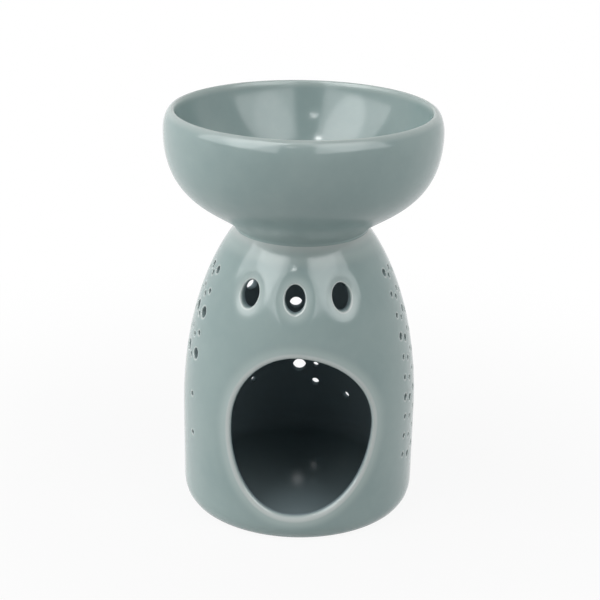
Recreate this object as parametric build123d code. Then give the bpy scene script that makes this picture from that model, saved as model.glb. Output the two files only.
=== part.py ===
from build123d import *
import os
from math import asin, cos, radians, sin, tan

# An essential oil burner of glazed ceramic, in two pieces: a pierced, dome-shaped burner body with a chamber
# for a tea light, and an oil bowl that stands on the open top of the dome and lifts off.
# Millimetres, +Z up, the chamber's opening faces -Y, origin on the table under the middle of the body.

# Burner body, outside
body_radius = 37.7          # upright lower wall
foot_inset = 2.8            # the flat foot is this much smaller in radius than the wall
foot_round_height = 5.5     # soft rounding from the foot up to the wall
shoulder_height = 31.0      # the wall is upright up to here, and the dome starts
dome_rise = 72.5            # height of the dome's ellipse, above the shoulder, if it closed at the top
seat_height = 91.4          # flat rim at the open top of the dome, where the bowl stands
seat_round = 0.4            # rounding of the rim's two edges

# Burner body, inside
body_wall = 3.2
chamber_floor = 5.0         # thickness of the floor under the tea light
floor_round = 4.5           # rounding from the floor up to the wall

# Three oval vents under the rim
vent_width = 6.1
vent_length = 8.0
vent_drop = 14.2            # from the rim down to their middles
vent_count = 3
vent_pitch = 29.2           # degrees between them
vent_turn = -3.4            # degrees, the row's middle, to the left of the front
vent_round = 0.7            # rounding of their edges

# Opening at the front, an egg with its narrow end down, cut by hand
opening_width = 43.2
opening_sill = 8.4          # height of its lowest point
opening_widest = 36.7       # height of its widest point
opening_bridge = 13.3       # wall between its highest point and the vents
opening_shift = 0.9         # to the right of the middle
opening_lean = 3.2          # degrees, top to the right
crown_shift = 2.5           # its highest point, to the left of the egg's own middle line
sill_shift = 2.0            # its lowest point, likewise
opening_round = 1.4         # rounding of its edges, outside and inside
egg_fullness = 0.6          # how square its lower half is
round_fullness = 0.5523     # the fullness of a true ellipse

# Pierced dots on the flanks, staggered columns that close in towards the top
flank_turn = 90.0           # degrees from the front to a flank's middle line
dot_columns = 4             # columns on each side of a flank's middle line
dot_rows = 10
dot_first_column = 6.0      # degrees from the flank's middle line to the nearest column
dot_column_pitch = 7.0      # degrees between columns at the lowest row
dot_taper = 0.2             # share of their spread that the columns lose towards the top
dot_lowest = 20.4           # height of the lowest row
dot_top_drop = 11.6         # from the rim down to the top row
dot_stagger = 0.25          # share of a row's pitch that every second column drops
dot_small = 1.5             # diameters
dot_medium = 2.2
dot_large = 3.4
no_dot = 0.0                # a gap in a column, whose rows are listed from the lowest
lower_gap = (no_dot,) * 5   # the left flank is plain in its lower half, but for two dots at its edge
left_upper = lower_gap + (dot_large, dot_small, dot_large, dot_small, dot_medium)
left_fine = lower_gap + (dot_small,) * 5
left_edge = (no_dot, dot_small, no_dot, dot_small) + left_upper[4:]
left_columns = (left_edge, left_fine, left_upper, left_fine)    # from the flank's edge in
right_mix = (dot_small,) * 3 + (dot_medium, dot_small, dot_small) * 2 + (dot_medium,)
mix_step = 3                # rows by which the right flank's mix moves on from one column to the next
right_columns = tuple(right_mix[mix_step * i:] + right_mix[:mix_step * i] for i in range(dot_columns))

# Pierced dots at the back: lines at a turn from the back's middle, each with its heights and diameters
back_dots = (
    (0.0, ((28.2, 4.6), (41.5, dot_medium), (65.0, dot_medium))),
    (2.7, ((52.6, 4.3),)),
    (-9.4, ((22.0, 2.8), (28.5, dot_medium), (46.0, dot_small))),
    (10.0, ((35.5, dot_small), (47.6, dot_small))),
    (-28.5, ((18.6, 2.7), (36.0, dot_medium), (62.0, dot_medium))),
    (27.4, ((24.0, dot_medium), (36.0, dot_medium))),
    (32.1, ((61.3, 4.0),)),
)
tool_overrun = 10.0         # how far the cutting tools reach past the wall

# Oil bowl
bowl_radius = 42.8          # belly
bowl_rise = 37.4            # from the seat up to the crest of the lip
belly_drop = 6.8            # from the crest down to the belly
bowl_wall = 3.9             # at the lip, and thicker below: the inside is one round hollow
bowl_base = 4.5             # thickness of the bottom, above the seat
lip_inner_round = 1.0       # from the crest in to the edge of the hollow
lip_inner_drop = 1.6        # from the crest down to the edge of the hollow
bowl_foot_inset = 0.15      # from the edge of the dome's rim in to the edge of the bowl's foot
bowl_foot_height = 0.5      # upright edge of the foot
bowl_flare = 50.0           # degrees, slope of the underside where it leaves the foot, before it hollows
flare_reach = 9.4           # how far the underside holds that slope
belly_reach = 21.5          # how far the side holds upright below the belly
spigot_depth = 3.0          # ring under the bowl that drops into the dome's open top
spigot_wall = 3.0
spigot_clearance = 0.6      # between that ring and the dome's open top

# Sizes worked out from the ones above
foot_radius = body_radius - foot_inset
inner_radius = body_radius - body_wall
inner_rise = dome_rise - body_wall
seat_angle = asin((seat_height - shoulder_height) / dome_rise)
mouth_angle = asin((seat_height - shoulder_height) / inner_rise)
seat_radius = body_radius * cos(seat_angle)
mouth_radius = inner_radius * cos(mouth_angle)
vent_height = seat_height - vent_drop
opening_crown = vent_height - vent_length / 2 - opening_bridge
rim_height = seat_height + bowl_rise
belly_height = rim_height - belly_drop
bowl_inner_radius = bowl_radius - bowl_wall
rim_radius = bowl_inner_radius + lip_inner_round
bowl_foot_radius = seat_radius - bowl_foot_inset
spigot_radius = mouth_radius - spigot_clearance
reach_out = body_radius + tool_overrun


def quarter(start, end, fullness, upright_first=True):
    """Quarter of a rounded curve from one point to another, upright at one end and level at the other."""
    (x0, y0), (x1, y1) = start, end
    if upright_first:
        return Bezier(start, (x0, y0 + fullness * (y1 - y0)), (x1 + fullness * (x0 - x1), y1), end)
    return Bezier(start, (x0 + fullness * (x1 - x0), y0), (x1, y1 + fullness * (y0 - y1)), end)


def dome_arc(radius, rise, angle):
    """Arc of an upright ellipse from the shoulder up to an angle, as one curve."""
    hold = 4 / 3 * tan(angle / 4)
    across, up = cos(angle), sin(angle)
    circle_points = [(1, 0), (1, hold), (across + hold * up, up - hold * across), (across, up)]
    return Bezier(*[(radius * x, shoulder_height + rise * y) for x, y in circle_points])


def turned(profile_lines):
    """Solid made by turning a closed profile about the upright axis."""
    return revolve(Plane.XZ * make_face(profile_lines), Axis.Z)


def outward_plane(azimuth, height):
    """Plane on the axis whose normal points level and outward, turned from the front towards +X."""
    outward = (sin(radians(azimuth)), -cos(radians(azimuth)), 0)
    across = (cos(radians(azimuth)), sin(radians(azimuth)), 0)
    return Plane(origin=(0, 0, height), x_dir=across, z_dir=outward)


def shell():
    """The dome with its floor, before anything is cut in it."""
    dome = dome_arc(body_radius, dome_rise, seat_angle)
    ceiling = dome_arc(inner_radius, inner_rise, mouth_angle)
    wall_foot = (body_radius, foot_round_height)
    floor_edge = (inner_radius - floor_round, chamber_floor)
    wall_inside = (inner_radius, chamber_floor + floor_round)
    profile = [
        Line((0, 0), (foot_radius, 0)),
        quarter((foot_radius, 0), wall_foot, round_fullness, upright_first=False),
        Line(wall_foot, dome @ 0),
        dome,
        Line(dome @ 1, ceiling @ 1),
        ceiling,
        Line(ceiling @ 0, wall_inside),
        quarter(wall_inside, floor_edge, round_fullness),
        Line(floor_edge, (0, chamber_floor)),
        Line((0, chamber_floor), (0, 0)),
    ]
    solid = turned(profile)
    rim = solid.edges().filter_by(GeomType.CIRCLE).filter_by_position(Axis.Z, seat_height, seat_height)
    return fillet(rim, seat_round)


def opening_tool():
    """The egg of the front opening, pushed out through the front wall."""
    right, left = (opening_width / 2, 0), (-opening_width / 2, 0)
    crown = (-crown_shift, opening_crown - opening_widest)
    sill = (-sill_shift, opening_sill - opening_widest)
    egg = make_face([
        quarter(right, crown, round_fullness),
        quarter(crown, left, round_fullness, upright_first=False),
        quarter(left, sill, egg_fullness),
        quarter(sill, right, egg_fullness, upright_first=False),
    ])
    place = Plane.XZ * Location((opening_shift, opening_widest, 0), (0, 0, -opening_lean))
    return extrude(place * egg, reach_out)


def vent_tools():
    """The oval vents, side by side above the opening."""
    first = vent_turn - vent_pitch * (vent_count - 1) / 2
    oval = Ellipse(vent_width / 2, vent_length / 2)
    turns = [first + i * vent_pitch for i in range(vent_count)]
    return [extrude(outward_plane(turn, vent_height) * oval, reach_out) for turn in turns]


def dot_tool(azimuth, height, diameter):
    """One pierced dot."""
    return extrude(outward_plane(azimuth, height) * Circle(diameter / 2), reach_out)


def flank_dots(side, columns):
    """Staggered columns of dots, the same both ways from the flank's middle line."""
    row_pitch = (seat_height - dot_top_drop - dot_lowest) / (dot_rows - 1)
    tools = []
    for from_edge, sizes in enumerate(columns):
        widest = dot_first_column + (dot_columns - 1 - from_edge) * dot_column_pitch
        for row, size in enumerate(sizes):
            step = row - dot_stagger * (from_edge % 2)
            spread = widest * (1 - dot_taper * step / dot_rows)
            if size != no_dot:
                tools += [dot_tool(side * flank_turn + way * spread, dot_lowest + step * row_pitch, size)
                          for way in (-1, 1)]
    return tools


def back_dot_tools():
    """The sparser dots up the back."""
    return [dot_tool(180 + turn, height, size) for turn, line in back_dots for height, size in line]


def rounded_cut(solid, tool, radius):
    """Cuts a tool out of a solid and rounds the edges that the cut leaves."""
    cut = solid - tool
    return fillet(new_edges(solid, tool, combined=cut), radius)


def burner_body():
    """Dome with its opening, vents and dots."""
    solid = rounded_cut(shell(), opening_tool(), opening_round)
    for tool in vent_tools():
        solid = rounded_cut(solid, tool, vent_round)
    return solid - (flank_dots(-1, left_columns) + flank_dots(1, right_columns) + back_dot_tools())


def oil_bowl():
    """Bowl with a rounded lip, a foot that stands on the dome's rim and a ring in its open top."""
    foot_top = (bowl_foot_radius, seat_height + bowl_foot_height)
    belly = (bowl_radius, belly_height)
    crest = (rim_radius, rim_height)
    hollow_edge = (bowl_inner_radius, rim_height - lip_inner_drop)
    hollow_bottom = (0, seat_height + bowl_base)
    hollow = TangentArc(hollow_bottom, hollow_edge, tangent=(1, 0))
    lip_crown = (rim_radius - round_fullness * lip_inner_round, rim_height)
    lip_run = hollow @ 1 + (hollow % 1) * (round_fullness * lip_inner_drop)
    flare_end = (
        bowl_foot_radius + flare_reach * cos(radians(bowl_flare)),
        foot_top[1] + flare_reach * sin(radians(bowl_flare)),
    )
    spigot_foot = seat_height - spigot_depth
    spigot_inside = spigot_radius - spigot_wall
    return turned([
        Line((0, seat_height), (spigot_inside, seat_height)),
        Line((spigot_inside, seat_height), (spigot_inside, spigot_foot)),
        Line((spigot_inside, spigot_foot), (spigot_radius, spigot_foot)),
        Line((spigot_radius, spigot_foot), (spigot_radius, seat_height)),
        Line((spigot_radius, seat_height), (bowl_foot_radius, seat_height)),
        Line((bowl_foot_radius, seat_height), foot_top),
        Bezier(foot_top, flare_end, (bowl_radius, belly_height - belly_reach), belly),
        quarter(belly, crest, round_fullness),
        Bezier(crest, lip_crown, lip_run, hollow_edge),
        hollow,
        Line(hollow_bottom, (0, seat_height)),
    ])


os.makedirs("parts", exist_ok=True)
export_step(burner_body(), "parts/burner_body.step")
export_step(oil_bowl(), "parts/oil_bowl.step")
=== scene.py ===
from math import asin, atan2, cos, pi, radians, sin, tan

import bpy
import numpy as np
from mathutils import Euler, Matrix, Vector
from mathutils.geometry import delaunay_2d_cdt


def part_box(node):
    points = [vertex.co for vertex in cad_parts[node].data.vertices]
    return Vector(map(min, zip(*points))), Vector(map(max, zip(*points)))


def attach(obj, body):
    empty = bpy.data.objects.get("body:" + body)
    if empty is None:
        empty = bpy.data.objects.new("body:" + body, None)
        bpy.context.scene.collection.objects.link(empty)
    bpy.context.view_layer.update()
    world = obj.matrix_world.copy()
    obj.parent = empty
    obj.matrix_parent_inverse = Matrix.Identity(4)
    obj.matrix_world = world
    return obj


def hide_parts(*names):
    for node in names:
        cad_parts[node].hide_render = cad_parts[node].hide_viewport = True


# A glazed ceramic oil burner: a pierced dome with a tea light chamber, and an oil bowl that lifts off it.
# Metres, +Z up, the chamber's opening faces -Y. An azimuth is measured from the front towards +X.
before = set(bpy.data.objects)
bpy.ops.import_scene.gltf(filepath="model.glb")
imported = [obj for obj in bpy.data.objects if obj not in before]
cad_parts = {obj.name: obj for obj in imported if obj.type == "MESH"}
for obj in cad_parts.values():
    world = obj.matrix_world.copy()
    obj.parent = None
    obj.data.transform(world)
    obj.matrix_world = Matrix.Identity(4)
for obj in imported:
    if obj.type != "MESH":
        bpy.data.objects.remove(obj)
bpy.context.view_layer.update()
mm = 0.001
full_turn = 2 * pi

# Burner body
body_low, body_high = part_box("burner_body")
body_radius = (body_high.x - body_low.x) / 2
seat_height = body_high.z
foot_inset = 2.8 * mm
foot_round_height = 5.5 * mm
shoulder_height = 31.0 * mm
dome_rise = 72.5 * mm
seat_round = 0.12 * mm          # tight, as glaze bridges the joint with the bowl
body_wall = 3.2 * mm
chamber_floor = 5.0 * mm
floor_round = 4.5 * mm
round_fullness = 0.5523        # handle length of a true quarter circle

# Three oval vents
vent_width = 6.1 * mm
vent_length = 8.0 * mm
vent_drop = 14.2 * mm          # from the rim down to their middles
vent_turn, vent_pitch = -3.4, 29.2    # degrees, to the middle one and from one to the next
vent_height = seat_height - vent_drop
vent_turns = [radians(vent_turn + vent_pitch * step) for step in (-1, 0, 1)]
vent_lip = 0.7 * mm
vent_inner_lip = 1.0 * mm
vent_dish_depth = 0.4 * mm
vent_shade = 0.3                # painted shade on the way through, next to 1 in the chamber

# Egg-shaped opening, cut by hand
opening_width = 43.2 * mm
opening_sill = 8.4 * mm
opening_widest = 36.7 * mm
opening_bridge = 13.3 * mm     # wall between its crown and the vents
opening_crown = vent_height - vent_length / 2 - opening_bridge
opening_shift = 0.9 * mm
opening_lean = radians(3.2)
crown_shift, sill_shift = 2.5 * mm, 2.0 * mm
egg_fullness = 0.6
opening_lip, opening_lip_depth = 2.2 * mm, 1.7 * mm
opening_inner_lip = 1.2 * mm
opening_dish_depth = 0.25 * mm
dish_reach = 3.6 * mm          # how far the shallow dish round the opening and each vent reaches

# Pierced dots
flank_turn = radians(90.0)
dot_columns, dot_rows = 4, 10
dot_first_column = radians(6.0)
dot_column_pitch = radians(7.0)
dot_taper = 0.2
dot_lowest = 20.4 * mm
dot_top_drop = 11.6 * mm       # from the rim down to the top row
dot_highest = seat_height - dot_top_drop
dot_stagger = 0.25
dot_lip, dot_lip_share = 0.28 * mm, 0.03    # rounding of an edge, and its growth with the diameter
dot_inner_lip = 0.12 * mm
dot_dish_reach, dot_dish_depth = 0.5 * mm, 0.05 * mm
# Painted shade on the way through the dots on the flanks and at the back
flank_shade, back_shade = 0.35, 1.0
small, medium, large = 1.5 * mm, 2.2 * mm, 3.4 * mm
no_dot = 0.0                   # a gap in a column, whose rows are listed from the lowest
lower_gap = (no_dot,) * 5
left_upper = lower_gap + (large, small, large, small, medium)
left_fine = lower_gap + (small,) * 5
left_edge = (no_dot, small, no_dot, small) + left_upper[4:]
left_columns = (left_edge, left_fine, left_upper, left_fine)    # from the flank's edge in
right_mix = (small,) * 3 + (medium, small, small) * 2 + (medium,)
mix_step = 3
right_columns = tuple(right_mix[mix_step * i:] + right_mix[:mix_step * i] for i in range(dot_columns))
back_dots = (
    (0.0, ((28.2, 4.6), (41.5, 2.2), (65.0, 2.2))),
    (2.7, ((52.6, 4.3),)),
    (-9.4, ((22.0, 2.8), (28.5, 2.2), (46.0, 1.5))),
    (10.0, ((35.5, 1.5), (47.6, 1.5))),
    (-28.5, ((18.6, 2.7), (36.0, 2.2), (62.0, 2.2))),
    (27.4, ((24.0, 2.2), (36.0, 2.2))),
    (32.1, ((61.3, 4.0),)),
)                              # degrees from the back's middle, then heights and diameters in millimetres

# Oil bowl
bowl_low, bowl_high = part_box("oil_bowl")
bowl_radius = (bowl_high.x - bowl_low.x) / 2
rim_height = bowl_high.z
belly_drop = 6.8 * mm
belly_height = rim_height - belly_drop
bowl_wall = 3.9 * mm
bowl_inner_radius = bowl_radius - bowl_wall
bowl_base = 4.5 * mm
lip_inner_round = 1.0 * mm
lip_inner_drop = 1.6 * mm
bowl_foot_inset = 0.04 * mm
bowl_foot_height = 0.5 * mm
bowl_flare = radians(50.0)
flare_reach = 9.4 * mm
belly_reach = 21.5 * mm
spigot_depth = seat_height - bowl_low.z
spigot_wall = 3.0 * mm
spigot_clearance = 0.6 * mm

# Mesh fineness
wall_pitch = 1.6 * mm          # spacing of points on the outer wall
inner_pitch = 2.4 * mm         # and inside the chamber
lip_rings = 7                  # rings of points round the lip of a hole
opening_dish_rings, vent_dish_rings = 4, 6
opening_corners, vent_corners, dot_corners = 160, 56, 24
bowl_columns = 224
hole_margin = 0.2 * mm         # clear space between a hole and the points round another
seam_turn = radians(132.0)     # a plain stretch of wall, where the mesh is closed up
smooth_angle = radians(50.0)   # corners sharper than this stay crisp

# How the glaze lies, and where light and shade are painted, as shares from 0 to 1
floor_shade = 0.8              # painted shade on the chamber's floor, next to 1 for its walls
lip_thinness = 0.5             # how thin the glaze runs on the lips of the holes
top_painted_light = 1.0             # painted light: the dome is painted paler towards the joint, where the bowl shades it
top_light_reach = 7.5 * mm
rim_thinness = 0.15            # and on the dome's rim
thin_fade = 1.5                # how soon it thickens, and the painted light fades, away from an edge, as a power
highlight_pace = 1.4                # a painted highlight ring peaks this soon round a lip
shade_pace = 6                  # how late the painted shade starts on the way through a wall, as a power
crest_thinness = 0.65          # on the bowl's crest
crest_reach = 2.8 * mm
crest_bareness = 0.15
matt_reach = 22.0 * mm         # the bowl's gloss softens this far down from its belly
inside_matt = 0.2              # and this much inside, next to 1 at its foot

# Sizes worked out from the ones above
foot_radius = body_radius - foot_inset
inner_radius = body_radius - body_wall
inner_rise = dome_rise - body_wall
seat_angle = asin((seat_height - shoulder_height) / dome_rise)
mouth_angle = asin((seat_height - shoulder_height) / inner_rise)
seat_radius = body_radius * cos(seat_angle)
mouth_radius = inner_radius * cos(mouth_angle)
bowl_foot_radius = seat_radius - bowl_foot_inset
rim_radius = bowl_inner_radius + lip_inner_round
hollow_bottom = seat_height + bowl_base
hollow_depth = rim_height - lip_inner_drop - hollow_bottom
hollow_radius = (bowl_inner_radius**2 + hollow_depth**2) / (2 * hollow_depth)
hollow_edge = atan2(bowl_inner_radius, hollow_radius - hollow_depth)    # turn from the bottom up to the lip

# Floor: a round sheet of paper, whiter away from the object
floor_radius = 3.0
paper_colour = (0.64, 0.64, 0.64, 1)
white_from, white_to = 0.05, 0.24    # metres from the middle
least_white = 0.91             # share of plain white at the middle, where the shadow shows most

# Camera, fitted to the photo's outline: pixels, millimetres of film, degrees
picture_pixels, focal_pixels, sensor_width = 600, 1340.5, 36.0
camera_place = (-0.2 * mm, -400.0 * mm, 221.15 * mm)
look_down, camera_tilt = 21.176, 1.0

# Panels: azimuths and elevations in degrees, distance in metres, brightness
world_fill = 0.18
lighting_panels = (
    ("left_light", (-115, -65), (-4, 40), 0.8, 2.9),
    ("right_light", (65, 115), (-4, 40), 0.8, 1.0),
    ("left_front_light", (-65, -25), (-4, 40), 0.8, 0.9),
    ("right_front_light", (25, 65), (-4, 40), 0.8, 0.7),
    ("left_top_light", (-80, -30), (40, 62), 0.8, 3.5),
    ("right_top_light", (30, 80), (40, 62), 0.8, 3.0),
    ("back_light", (145, 215), (5, 45), 0.9, 0.8),
)
shining_panels = (
    ("left_window", (-94, -20), (20, 66), 0.8, 3.0, "RECTANGLE"),
    ("left_window_middle", (-76, -28), (20, 66), 0.8, 2.2, "ELLIPSE"),
    ("right_window", (10, 72), (20, 65), 0.8, 2.8, "RECTANGLE"),
    ("right_window_middle", (15, 60), (20, 65), 0.8, 1.0, "ELLIPSE"),
    ("small_lamp", (-15, -8), (39.5, 41.5), 2.0, 24.0, "RECTANGLE"),
    ("ceiling_window", (-17, 15), (66, 75), 0.8, 4.0, "RECTANGLE"),
    ("ceiling_lamp", (-30, -21), (60.0, 62.0), 2.0, 50.0, "RECTANGLE"),
)


# Curves

def bezier(points, count):
    """Points along a curve with two handles."""
    t = np.linspace(0, 1, count)[:, None]
    start, first, second, end = (np.array(p, float) for p in points)
    return (1 - t)**3 * start + 3 * (1 - t)**2 * t * first + 3 * (1 - t) * t**2 * second + t**3 * end


def quarter(start, end, fullness, count, upright_first=True):
    """Quarter of a rounded curve, upright at one end and level at the other."""
    (x0, y0), (x1, y1) = start, end
    if upright_first:
        return bezier((start, (x0, y0 + fullness * (y1 - y0)), (x1 + fullness * (x0 - x1), y1), end), count)
    return bezier((start, (x0 + fullness * (x1 - x0), y0), (x1, y1 + fullness * (y0 - y1)), end), count)


def line(start, end, count):
    return np.linspace(start, end, count)


def dome_arc(radius, rise, angle, count):
    """Upright ellipse from the shoulder up to an angle."""
    t = np.linspace(0, angle, count)
    return np.stack([radius * np.cos(t), shoulder_height + rise * np.sin(t)], 1)


def joined(*stretches):
    """One profile from stretches that meet end to end."""
    return np.vstack([stretches[0]] + [s[1:] for s in stretches[1:]])


def outer_profile():
    """Outside of the body, from the edge of the foot up to just below the rim."""
    top_angle = asin((seat_height - seat_round - shoulder_height) / dome_rise)
    wall_foot = (body_radius, foot_round_height)
    return joined(
        quarter((foot_radius, 0), wall_foot, round_fullness, 24, upright_first=False),
        line(wall_foot, (body_radius, shoulder_height), 40),
        dome_arc(body_radius, dome_rise, top_angle, 120),
    )


def inner_profile():
    """Inside of the chamber, from the floor up to just below the open top."""
    top_angle = asin((seat_height - seat_round - shoulder_height) / inner_rise)
    wall_inside = (inner_radius, chamber_floor + floor_round)
    floor_edge = (inner_radius - floor_round, chamber_floor)
    return joined(
        quarter(floor_edge, wall_inside, round_fullness, 16, upright_first=False),
        line(wall_inside, (inner_radius, shoulder_height), 40),
        dome_arc(inner_radius, inner_rise, top_angle, 120),
    )


# Meshes

class Clay:
    """Collects the points and faces of one piece, with how the glaze lies and where light or shade is
    painted, at each point.
    """

    # Thin glaze with painted light and highlights, painted shade in the chamber and holes, bare clay,
    # softer gloss
    finishes = ("thin", "chamber", "bare", "matt")

    def __init__(self):
        self.points, self.faces = [], []
        self.values = {name: [] for name in self.finishes}

    def add(self, coords, **finish):
        """Adds points and returns their indices."""
        first = len(self.points)
        self.points.extend(map(tuple, coords))
        for name in self.finishes:
            self.values[name].extend(np.broadcast_to(finish.get(name, 0.0), len(coords)))
        return np.arange(first, len(self.points))

    def ring(self, radius, height, turns, **finish):
        """Adds a level ring of points about the upright axis."""
        coords = np.stack([radius * np.sin(turns), -radius * np.cos(turns), np.full_like(turns, height)], 1)
        return self.add(coords, **finish)

    def strip(self, ring, following):
        """Joins two closed rings of as many points with quads."""
        beside, beside_following = np.roll(ring, -1), np.roll(following, -1)
        self.faces.extend(zip(ring, beside, beside_following, following))

    def lathe(self, profile, turns, first=None, last=None, finish=lambda radius, height: {}):
        """Turns a profile, and joins it to rings that are there already at its ends."""
        rings = [] if first is None else [first]
        rings += [self.ring(r, z, turns, **finish(r, z)) for r, z in profile]
        rings += [] if last is None else [last]
        for ring, following in zip(rings, rings[1:]):
            self.strip(ring, following)
        return rings[0], rings[-1]

    def close(self, ring, height, outward_up, **finish):
        """Closes a ring with a fan about the upright axis."""
        middle = self.add([(0.0, 0.0, height)], **finish)[0]
        beside = np.roll(ring, -1)
        pairs = zip(ring, beside) if outward_up else zip(beside, ring)
        self.faces.extend((a, b, middle) for a, b in pairs)

    def piece(self, name, material):
        """Makes the piece, smooth but for true corners."""
        mesh = bpy.data.meshes.new(name)
        mesh.from_pydata(self.points, [], [tuple(map(int, face)) for face in self.faces])
        for finish, values in self.values.items():
            attribute = mesh.attributes.new(finish, "FLOAT", "POINT")
            attribute.data.foreach_set("value", np.array(values, np.float32))
        mesh.shade_smooth()
        mesh.set_sharp_from_angle(angle=smooth_angle)
        mesh.materials.append(material)
        mesh.validate()
        piece = bpy.data.objects.new(name, mesh)
        bpy.context.scene.collection.objects.link(piece)
        return piece


class Hole:
    """A hole pushed level through the wall at an azimuth: its outline, and how its lips are rounded."""

    def __init__(self, turn, outline, lip, lip_depth, inner_lip, dish, dish_depth, dish_rings=1, shade_share=1.0):
        # The last argument is the painted shade on the way through the wall
        self.turn, self.outline, self.shade_share = turn, outline, shade_share
        self.lip, self.lip_depth, self.inner_lip = lip, lip_depth, inner_lip
        self.dish, self.dish_depth, self.dish_rings = dish, dish_depth, dish_rings
        along = np.roll(outline, -1, 0) - np.roll(outline, 1, 0)
        self.away = np.stack([along[:, 1], -along[:, 0]], 1) / np.linalg.norm(along, axis=1)[:, None]
        self.middle = outline.mean(0)
        self.reach = np.linalg.norm(outline - self.middle, axis=1).max()

    def widened(self, offset):
        """The outline, grown by an offset."""
        return self.outline + offset * self.away

    def on_wall(self, offset, wall):
        """Azimuths and heights where the grown outline meets a wall."""
        across, height = self.widened(offset).T
        return self.turn + np.arcsin(across / wall.radius_at(height)), height

    def inside_wall(self, offset, wall, depth):
        """Points of the grown outline at a depth into the wall, or out of it below zero."""
        across, height = self.widened(offset).T
        out = np.sqrt(wall.radius_at(height)**2 - across**2) - depth
        x = out * sin(self.turn) + across * cos(self.turn)
        y = -out * cos(self.turn) + across * sin(self.turn)
        return np.stack([x, y, height], 1)

    def covers(self, turns, radii, heights, offset):
        """Which points on a wall lie within the grown outline."""
        apart = turns - self.turn
        spots = np.stack([radii * np.sin(apart), heights], 1)
        inside = (np.cos(apart) > 0) & (np.linalg.norm(spots - self.middle, axis=1) < self.reach + offset)
        if inside.any():
            corners = self.widened(offset)
            sides = np.roll(corners, -1, 0) - corners
            gaps = spots[inside][:, None] - corners
            inside[inside] = (sides[:, 0] * gaps[..., 1] - sides[:, 1] * gaps[..., 0] > 0).all(1)
        return inside


class Wall:
    """A pierced wall of revolution, meshed on its unrolled sheet."""

    def __init__(self, profile, pitch, faces_out):
        self.profile, self.pitch, self.faces_out = profile, pitch, faces_out
        steps = np.linalg.norm(np.diff(profile, axis=0), axis=1)
        self.along = np.concatenate([[0], np.cumsum(steps)])
        self.length = self.along[-1]

    def radius_at(self, height):
        return np.interp(height, self.profile[:, 1], self.profile[:, 0])

    def height_of(self, along):
        return np.interp(along, self.along, self.profile[:, 1])

    def radius_of(self, along):
        return np.interp(along, self.along, self.profile[:, 0])

    def along_at(self, height):
        return np.interp(height, self.profile[:, 1], self.along)

    def covered(self, turns, heights, holes, loops, last=0, margin=hole_margin):
        """Which points lie on a hole, or on the rings round it as far as one of them."""
        radii = self.radius_at(heights)
        found = np.zeros(len(turns), bool)
        for hole in holes:
            found |= hole.covers(turns, radii, heights, loops(hole)[last][0] + margin)
        return found

    def plain_points(self, turns, rows, holes, loops):
        """Staggered points of the sheet that lie clear of the holes and the rings round them."""
        step = turns[1] - turns[0]
        spots = []
        for i, along in enumerate(rows[1:-1]):
            shifted = turns[1:-1] + step / 2 * (i % 2)
            spots.extend((turn, along) for turn in shifted if turn < turns[-1] - step / 4)
        spots = np.array(spots)
        heights = self.height_of(spots[:, 1])
        return spots[~self.covered(spots[:, 0], heights, holes, loops, -1, 0.6 * self.pitch)]

    def mesh(self, clay, turns, holes, loops, finish):
        """Adds the sheet. loops gives a hole's rings as (offset, sink, finish), its edge first."""
        rows = np.linspace(0, self.length, round(self.length / self.pitch) + 1)
        spots, edges, indices = [], [], []

        def put(azimuths, along, sink=0.0, shared=None, **values):
            first = len(spots)
            spots.extend(zip(azimuths * body_radius, along))
            if shared is None:
                height, radius = self.height_of(along), self.radius_of(along) - sink
                coords = np.stack([radius * np.sin(azimuths), -radius * np.cos(azimuths), height], 1)
                shared = clay.add(coords, **{**finish(height), **values})
            indices.extend(shared)
            return np.arange(first, len(spots))

        def edge_row(along):
            row = put(turns[:-1], np.full(len(turns) - 1, along))
            return np.append(row, put(turns[-1:], np.array([along]), shared=[indices[row[0]]]))

        bottom, top = edge_row(rows[0]), edge_row(rows[-1])
        seam = put(np.full(len(rows) - 2, turns[0]), rows[1:-1])
        seam_again = put(np.full(len(rows) - 2, turns[-1]), rows[1:-1], shared=[indices[k] for k in seam])
        for end, column in ((0, seam), (-1, seam_again)):
            column = np.concatenate([[bottom[end]], column, [top[end]]])
            edges += zip(column, column[1:])
        for row in (bottom, top):
            edges += zip(row, row[1:])
        rims, owner = [], {}
        for hole in holes:
            lap = full_turn * (hole.turn < turns[0])
            for i, (offset, sink, values) in enumerate(loops(hole)):
                azimuths, height = hole.on_wall(offset, self)
                if i > 0:
                    clear = ~self.covered(azimuths, height, [h for h in holes if h is not hole], loops)
                    azimuths, height = azimuths[clear], height[clear]
                ring = put(azimuths + lap, self.along_at(height), sink, **values)
                if i == 0:
                    rims.append([indices[k] for k in ring])
                    owner.update({k: len(rims) for k in ring})
                    edges += zip(ring, np.roll(ring, -1))
        plain = self.plain_points(turns, rows, holes, loops)
        put(plain[:, 0], plain[:, 1])
        sheet = delaunay_2d_cdt(
            [Vector(spot) for spot in spots], [tuple(map(int, edge)) for edge in edges], [], 0, 1e-9, True)
        origin = [ids[0] for ids in sheet[3]]
        for face in sheet[2]:
            corners = [origin[k] for k in face]
            owners = {owner.get(k) for k in corners}
            if len(owners) == 1 and None not in owners:
                continue
            corners = corners if self.faces_out else corners[::-1]
            clay.faces.append([indices[k] for k in corners])
        return [indices[k] for k in bottom[:-1]], [indices[k] for k in top[:-1]], rims


def oval(width, length, height, count):
    """Outline of an oval, as offsets across and heights."""
    t = np.arange(count) * full_turn / count
    return np.stack([width / 2 * np.cos(t), height + length / 2 * np.sin(t)], 1)


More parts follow.
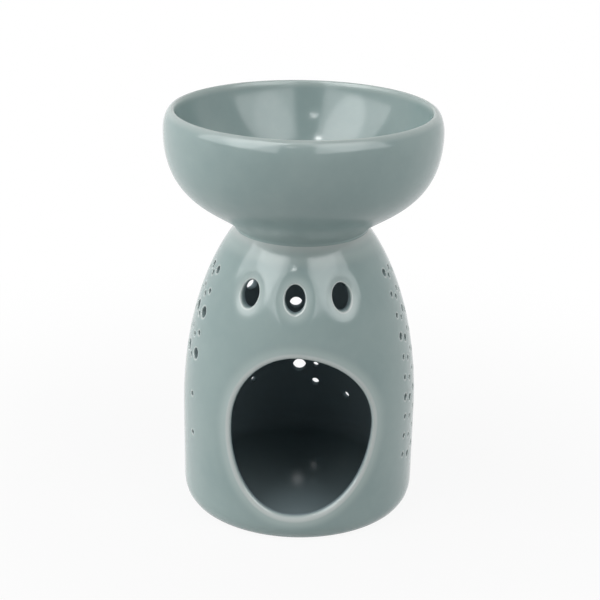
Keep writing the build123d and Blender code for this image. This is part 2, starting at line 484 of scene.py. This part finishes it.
def egg(count):
    """Outline of the front opening."""
    right, left = (opening_width / 2, 0), (-opening_width / 2, 0)
    crown = (-crown_shift, opening_crown - opening_widest)
    sill = (-sill_shift, opening_sill - opening_widest)
    stretch = count // 4 + 1
    outline = joined(
        quarter(right, crown, round_fullness, stretch),
        quarter(crown, left, round_fullness, stretch, upright_first=False),
        quarter(left, sill, egg_fullness, stretch),
        quarter(sill, right, egg_fullness, stretch, upright_first=False),
    )[:-1]
    turn = np.array([[cos(opening_lean), sin(opening_lean)], [-sin(opening_lean), cos(opening_lean)]])
    return outline @ turn.T + (opening_shift, opening_widest)


def dot(turn, height, diameter, shade_share):
    """A small pierced hole with a soft edge."""
    lip = dot_lip + dot_lip_share * diameter
    outline = oval(diameter, diameter, height, dot_corners)
    return Hole(turn, outline, lip, lip, dot_inner_lip, dot_dish_reach, dot_dish_depth, shade_share=shade_share)


def flank_dots(side, columns):
    """Staggered columns of dots, the same both ways from the flank's middle line."""
    row_pitch = (dot_highest - dot_lowest) / (dot_rows - 1)
    for from_edge, sizes in enumerate(columns):
        widest = dot_first_column + (dot_columns - 1 - from_edge) * dot_column_pitch
        for row, size in enumerate(sizes):
            step = row - dot_stagger * (from_edge % 2)
            spread = widest * (1 - dot_taper * step / dot_rows)
            if size != no_dot:
                height = dot_lowest + step * row_pitch
                for way in (-1, 1):
                    yield dot(side * flank_turn + way * spread, height, size, flank_shade)


def body_holes():
    """Every hole in the body's wall."""
    holes = [Hole(0.0, egg(opening_corners), opening_lip, opening_lip_depth, opening_inner_lip,
                  dish_reach, opening_dish_depth, opening_dish_rings)]
    for turn in vent_turns:
        outline = oval(vent_width, vent_length, vent_height, vent_corners)
        holes.append(Hole(turn, outline, vent_lip, vent_lip, vent_inner_lip,
                          dish_reach, vent_dish_depth, vent_dish_rings, vent_shade))
    holes += flank_dots(-1, left_columns)
    holes += flank_dots(1, right_columns)
    for turn, column in back_dots:
        holes += [dot(pi + radians(turn), height * mm, size * mm, back_shade) for height, size in column]
    return holes


def outer_loops(hole):
    """Rings round a hole on the outer wall: its soft dish flattens out away from it."""
    rings = []
    for share in np.linspace(0, 1, hole.dish_rings + 1):
        sink = hole.dish_depth * (1 - share)**2
        finish = {"thin": lip_thinness * (1 - share)**thin_fade}
        rings.append((hole.lip + share * hole.dish, sink, finish))
    return rings


def inner_loops(hole):
    """Rings round a hole inside the chamber."""
    return [(hole.inner_lip, 0.0, {"chamber": 1.0})]


def join_through(clay, hole, outer, inner, outer_rim, inner_rim):
    """The rounded lips of a hole and the way through the wall: paler glaze with a painted highlight ring at
    the lip, and painted shade inside.
    """
    rings = [outer_rim]
    for share in np.linspace(0, 1, lip_rings)[1:]:
        angle = share * pi / 2
        depth = hole.dish_depth + hole.lip_depth * (1 - cos(angle))
        coords = hole.inside_wall(hole.lip * (1 - sin(angle)), outer, depth)
        # A painted highlight ring peaks on the lip; painted shade grows on the way through
        edge_highlight = sin(pi * min(1.0, highlight_pace * share))
        thin_and_highlight = lip_thinness + (1 - lip_thinness) * edge_highlight
        rings.append(clay.add(coords, thin=thin_and_highlight, chamber=hole.shade_share * share**shade_pace))
    for share in np.linspace(1, 0, lip_rings)[:-1]:
        angle = share * pi / 2
        depth = -hole.inner_lip * (1 - cos(angle))
        coords = hole.inside_wall(hole.inner_lip * (1 - sin(angle)), inner, depth)
        rings.append(clay.add(coords, chamber=1.0))
    for ring, following in zip(rings, rings[1:] + [inner_rim]):
        clay.strip(np.array(ring), np.array(following))


def burner_body(material):
    """The pierced dome with its chamber."""
    clay = Clay()
    count = round(full_turn * body_radius / wall_pitch)
    turns = seam_turn + np.linspace(0, full_turn, count + 1)
    outer = Wall(outer_profile(), wall_pitch, faces_out=True)
    inner = Wall(inner_profile(), inner_pitch, faces_out=False)
    holes = body_holes()
    # Painted light: the top of the dome is painted paler towards the joint with the bowl
    foot, rim, outer_rims = outer.mesh(clay, turns, holes, outer_loops, lambda height: {
        "thin": top_painted_light * np.clip(1 - (seat_height - height) / top_light_reach, 0, 1)**thin_fade})
    # Painted shade over the chamber's walls and, a little less, its floor
    floor, mouth, inner_rims = inner.mesh(clay, turns, holes, inner_loops, lambda height: {"chamber": 1.0})
    for index in floor:
        clay.values["chamber"][index] = floor_shade
    for hole, outer_rim, inner_rim in zip(holes, outer_rims, inner_rims):
        join_through(clay, hole, outer, inner, outer_rim, inner_rim)
    around = turns[:-1]
    seat_edge, mouth_edge = (seat_radius, seat_height), (mouth_radius, seat_height)
    rim_outside = (seat_radius - seat_round, seat_height)
    rim_inside = (mouth_radius + seat_round, seat_height)
    rim_profile = joined(
        bezier((outer.profile[-1], seat_edge, seat_edge, rim_outside), 8)[1:],
        line(rim_outside, rim_inside, 5),
        bezier((rim_inside, mouth_edge, mouth_edge, inner.profile[-1]), 8)[:-1],
    )
    clay.lathe(rim_profile, around, np.array(rim), np.array(mouth), lambda r, z: {"thin": rim_thinness})
    floor_radii = np.linspace(inner_radius - floor_round, 0, 16)[1:-1]
    _, hub = clay.lathe([(r, chamber_floor) for r in floor_radii], around, first=np.array(floor),
                        finish=lambda r, z: {"chamber": floor_shade})
    clay.close(hub, chamber_floor, True, chamber=floor_shade)
    foot_radii = np.linspace(0, foot_radius, 12)[1:-1]
    hub, _ = clay.lathe([(r, 0.0) for r in foot_radii], around, last=np.array(foot),
                        finish=lambda r, z: {"bare": 1.0})
    clay.close(hub, 0.0, False, bare=1.0)
    return clay.piece("glazed_burner_body", material)


def bowl_profile():
    """The bowl from the middle of its underside, round the lip and in to the middle of its inside."""
    foot_top = (bowl_foot_radius, seat_height + bowl_foot_height)
    flare_end = foot_top + flare_reach * np.array((cos(bowl_flare), sin(bowl_flare)))
    belly, crest = (bowl_radius, belly_height), np.array((rim_radius, rim_height))
    turn = np.linspace(hollow_edge, 0, 72)
    hollow = np.stack([hollow_radius * np.sin(turn), hollow_bottom + hollow_radius * (1 - np.cos(turn))], 1)
    hollow_run = np.array((cos(hollow_edge), sin(hollow_edge)))
    spigot_radius = mouth_radius - spigot_clearance
    spigot_inside, spigot_foot = spigot_radius - spigot_wall, seat_height - spigot_depth
    bottom = joined(
        line((spigot_inside / 8, seat_height), (spigot_inside, seat_height), 8),
        line((spigot_inside, seat_height), (spigot_inside, spigot_foot), 4),
        line((spigot_inside, spigot_foot), (spigot_radius, spigot_foot), 4),
        line((spigot_radius, spigot_foot), (spigot_radius, seat_height), 4),
        line((spigot_radius, seat_height), (bowl_foot_radius, seat_height), 5),
        line((bowl_foot_radius, seat_height), foot_top, 4),
    )
    return joined(
        bottom,
        bezier((foot_top, flare_end, (bowl_radius, belly_height - belly_reach), belly), 60),
        quarter(belly, crest, round_fullness, 24),
        bezier((crest, crest - (round_fullness * lip_inner_round, 0),
                hollow[0] + round_fullness * lip_inner_drop * hollow_run, hollow[0]), 14),
        hollow,
    )[:-1]


def oil_bowl(material):
    """The bowl, turned as one piece."""
    clay = Clay()
    turns = np.arange(bowl_columns) * full_turn / bowl_columns

    def inside_height(radius):
        """Height of the hollow at a radius, less a millimetre to tell its surface from the outside."""
        return hollow_bottom + hollow_radius - np.sqrt(max(0.0, hollow_radius**2 - radius**2)) - mm

    def finish(radius, height):
        from_crest = np.hypot(radius - rim_radius, height - rim_height)
        on_lip = crest_thinness * max(0.0, 1 - from_crest / crest_reach)
        hidden = height < seat_height + bowl_foot_height and radius < bowl_foot_radius
        outside = inside_height(radius) > height
        matt = np.clip((belly_height - height) / matt_reach, 0, 1) if outside else inside_matt
        return {"thin": on_lip, "bare": 1.0 if hidden else crest_bareness * on_lip, "matt": matt}

    underside, bottom = clay.lathe(bowl_profile(), turns, finish=finish)
    clay.close(underside, seat_height, False, bare=1.0)
    clay.close(bottom, hollow_bottom, True)
    return clay.piece("glazed_oil_bowl", material)


# Shaders

class Wire:
    """A socket of a node tree. Sums of wires and numbers add the Math nodes that they need."""

    def __init__(self, tree, socket=None):
        self.tree, self.socket = tree, socket

    def add(self, kind, settings=None, sockets=None, output=0):
        """Adds a node with its settings and the values or links of its sockets. Returns one output."""
        node = self.tree.nodes.new(kind)
        for name, value in (settings or {}).items():
            setattr(node, name, value)
        for name, value in (sockets or {}).items():
            if isinstance(value, Wire):
                self.tree.links.new(value.socket, node.inputs[name])
            else:
                node.inputs[name].default_value = value
        return Wire(self.tree, node.outputs[output]) if node.outputs else node

    def maths(self, operation, first, second):
        return self.add("ShaderNodeMath", {"operation": operation}, {0: first, 1: second})

    def __add__(self, other):
        return self.maths("ADD", self, other)

    __radd__ = __add__

    def __sub__(self, other):
        return self.maths("SUBTRACT", self, other)

    def __rsub__(self, other):
        return self.maths("SUBTRACT", other, self)

    def __mul__(self, other):
        return self.maths("MULTIPLY", self, other)

    __rmul__ = __mul__

    def larger(self, other):
        return self.maths("MAXIMUM", self, other)

    def eased(self, low, high, start=0.0, end=1.0):
        """A smooth step of this value between two limits."""
        return self.add("ShaderNodeMapRange", {"interpolation_type": "SMOOTHSTEP"}, {
            "Value": self, "From Min": low, "From Max": high, "To Min": start, "To Max": end})

    def tint(self, colour, other):
        """A colour that goes to another as this value goes from 0 to 1."""
        return self.add("ShaderNodeMix", {"data_type": "RGBA"}, {0: self, 6: colour, 7: other}, 2)


def new_tree(owner):
    """An empty node tree of a material or a world."""
    owner.use_nodes = True
    owner.node_tree.nodes.clear()
    return Wire(owner.node_tree)


# Colours, linear
glaze_colour = (0.262, 0.345, 0.338, 1)
pooled_colour = (0.234, 0.318, 0.313, 1)
# Paler for thin glaze and painted light; palest on the crest and for painted highlights
thin_and_lit_colour = (0.370, 0.450, 0.440, 1)
crest_and_highlight_colour = (0.490, 0.540, 0.528, 1)
# Painted shade inside the chamber and through the holes
chamber_shade_colour = (0.212, 0.268, 0.292, 1)
bisque_colour = (0.62, 0.58, 0.52, 1)
dark_bisque_colour = (0.55, 0.51, 0.45, 1)
speck_colour = (0.05, 0.055, 0.05, 1)


def glaze(name, offset):
    """Glossy grey-green glaze over pale clay that pools, thins on edges and holds a few dark specks;
    painted highlights on hole lips, painted light at the dome's top, painted shade in the chamber.
    """
    material = bpy.data.materials.new(name)
    tree = new_tree(material)
    place = tree.add("ShaderNodeMapping", None, {
        "Vector": tree.add("ShaderNodeTexCoord", output="Object"), "Location": offset})
    thin, chamber, bare, matt = (
        tree.add("ShaderNodeAttribute", {"attribute_name": finish}, output="Fac")
        for finish in Clay.finishes)

    def noise(scale, detail, grain):
        return tree.add("ShaderNodeTexNoise", None, {
            "Vector": place, "Scale": scale, "Detail": detail, "Roughness": grain})

    clouds, mottle, ripple = noise(42.0, 3.0, 0.55), noise(420.0, 2.0, 0.6), noise(95.0, 1.0, 0.4)
    speck_cells = {"Vector": place, "Scale": 110.0}
    speck_size = tree.add("ShaderNodeTexVoronoi", None, speck_cells, "Distance")
    speck_pick = tree.add("ShaderNodeTexVoronoi", None, speck_cells, "Color")
    chosen = tree.add("ShaderNodeSeparateColor", None, {"Color": speck_pick}, "Red").eased(0.93, 0.95)
    speck = speck_size.eased(0.02, 0.05, 1.0, 0.0) * chosen * (1 - bare)

    colour = clouds.eased(0.35, 0.7).tint(glaze_colour, pooled_colour)
    colour = (mottle.eased(0.45, 0.75) * 0.04).tint(colour, thin_and_lit_colour)
    # Paler where the glaze runs thin, and painted light at the top of the dome
    colour = (thin.eased(0.0, lip_thinness) * (0.7 + 0.3 * ripple)).tint(colour, thin_and_lit_colour)
    # Palest on the bowl's crest, with a painted highlight ring on hole lips and painted light at the dome's
    # top
    colour = thin.eased(lip_thinness, 1.0).tint(colour, crest_and_highlight_colour)
    colour = (speck * 0.6).tint(colour, speck_colour)
    # Painted shade: darker inside the chamber and through the holes
    colour = chamber.tint(colour, chamber_shade_colour)
    colour = bare.tint(colour, mottle.eased(0.3, 0.7).tint(bisque_colour, dark_bisque_colour))
    roughness = 0.13 + 0.13 * matt.eased(0.0, 1.0) + 0.65 * bare
    surface = tree.add("ShaderNodeBump", None, {
        "Height": ripple * 0.7 + mottle * 0.06 - speck * 0.2, "Strength": 0.16, "Distance": 0.0004})
    glossy = tree.add("ShaderNodeBsdfPrincipled", None, {
        "Base Color": colour, "Roughness": roughness, "Specular IOR Level": 0.5, "Normal": surface})
    # Walls in painted shade take a dull shader without gloss
    dull_shaded = tree.add("ShaderNodeBsdfPrincipled", None, {
        "Base Color": colour, "Roughness": 0.95, "Specular IOR Level": 0.0})
    shade_share = chamber.eased(floor_shade, 1.0)
    shader = tree.add("ShaderNodeMixShader", None, {0: shade_share, 1: glossy, 2: dull_shaded})
    tree.add("ShaderNodeOutputMaterial", None, {"Surface": shader})
    return material


def seen_directly(tree):
    """1 on rays that show the backdrop, by eye, in gloss or through glass, and 0 on the others."""
    rays = {name: tree.add("ShaderNodeLightPath", output=name)
            for name in ("Is Camera Ray", "Is Glossy Ray", "Is Transmission Ray")}
    return rays["Is Camera Ray"].larger(rays["Is Glossy Ray"]).larger(rays["Is Transmission Ray"])


def studio_floor():
    """A pale floor that reads white and keeps the object's shadow."""
    bpy.ops.mesh.primitive_circle_add(vertices=96, radius=floor_radius, fill_type="NGON")
    floor = bpy.context.object
    floor.name = "studio_floor"
    material = bpy.data.materials.new("floor_paper")
    tree = new_tree(material)
    paper = tree.add("ShaderNodeBsdfDiffuse", None, {"Color": paper_colour})
    white = tree.add("ShaderNodeEmission", None, {"Color": (1, 1, 1, 1), "Strength": 1.0})
    spot = tree.add("ShaderNodeNewGeometry", output="Position")
    from_middle = tree.add("ShaderNodeVectorMath", {"operation": "LENGTH"}, {0: spot}, "Value")
    share = seen_directly(tree) * from_middle.eased(white_from, white_to, least_white, 1.0)
    mixed = tree.add("ShaderNodeMixShader", None, {0: share, 1: paper, 2: white})
    tree.add("ShaderNodeOutputMaterial", None, {"Surface": mixed})
    floor.data.materials.append(material)


def studio_world(fill):
    """White surroundings, with a plain low fill on the object."""
    world = bpy.data.worlds.new("studio")
    bpy.context.scene.world = world
    tree = new_tree(world)
    strength = seen_directly(tree) * (1 - fill) + fill
    background = tree.add("ShaderNodeBackground", None, {"Color": (1, 1, 1, 1), "Strength": strength})
    tree.add("ShaderNodeOutputWorld", None, {"Surface": background})


def softbox(name, azimuths, elevations, distance, brightness, lights=True, shines=True, shape="RECTANGLE"):
    """An upright panel that covers these angles from the burner, to light it, to shine in it or both."""
    azimuth, half_turn = radians(sum(azimuths) / 2), radians(azimuths[1] - azimuths[0]) / 2
    low, high = (distance * tan(radians(elevation)) for elevation in elevations)
    light = bpy.data.lights.new(name, "AREA")
    light.shape = shape
    light.size, light.size_y = 2 * distance * tan(half_turn), high - low
    light.energy = brightness * pi * light.size * light.size_y
    lamp = bpy.data.objects.new(name, light)
    lamp.location = (distance * sin(azimuth), -distance * cos(azimuth), (rim_height + low + high) / 2)
    lamp.rotation_euler = (radians(90.0), 0, azimuth)
    lamp.visible_camera, lamp.visible_diffuse, lamp.visible_glossy = False, lights, shines
    bpy.context.scene.collection.objects.link(lamp)


def photo_camera():
    """The photograph's viewing angle, from above and tilted a little."""
    camera = bpy.data.cameras.new("camera")
    camera.sensor_width = sensor_width
    camera.lens = sensor_width * focal_pixels / picture_pixels
    view = bpy.data.objects.new("camera", camera)
    view.location = camera_place
    level = Euler((radians(90.0 - look_down), 0, 0)).to_matrix()
    view.rotation_euler = (level @ Euler((0, 0, radians(camera_tilt))).to_matrix()).to_euler()
    bpy.context.scene.collection.objects.link(view)
    bpy.context.scene.camera = view


body = burner_body(glaze("body_glaze", (0, 0, 0)))
bowl = oil_bowl(glaze("bowl_glaze", (0.3, 0.1, 0.2)))
for piece, carrier, node, finish in (
        (body, "burner", "burner_body", "body_glaze"), (bowl, "bowl", "oil_bowl", "bowl_glaze")):
    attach(piece, carrier)
    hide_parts(node)
studio_floor()
studio_world(world_fill)
for panel in lighting_panels:
    softbox(*panel, shines=False)
for *panel, shape in shining_panels:
    softbox(*panel, lights=False, shape=shape)
photo_camera()
bpy.context.scene.view_settings.view_transform = "Standard"
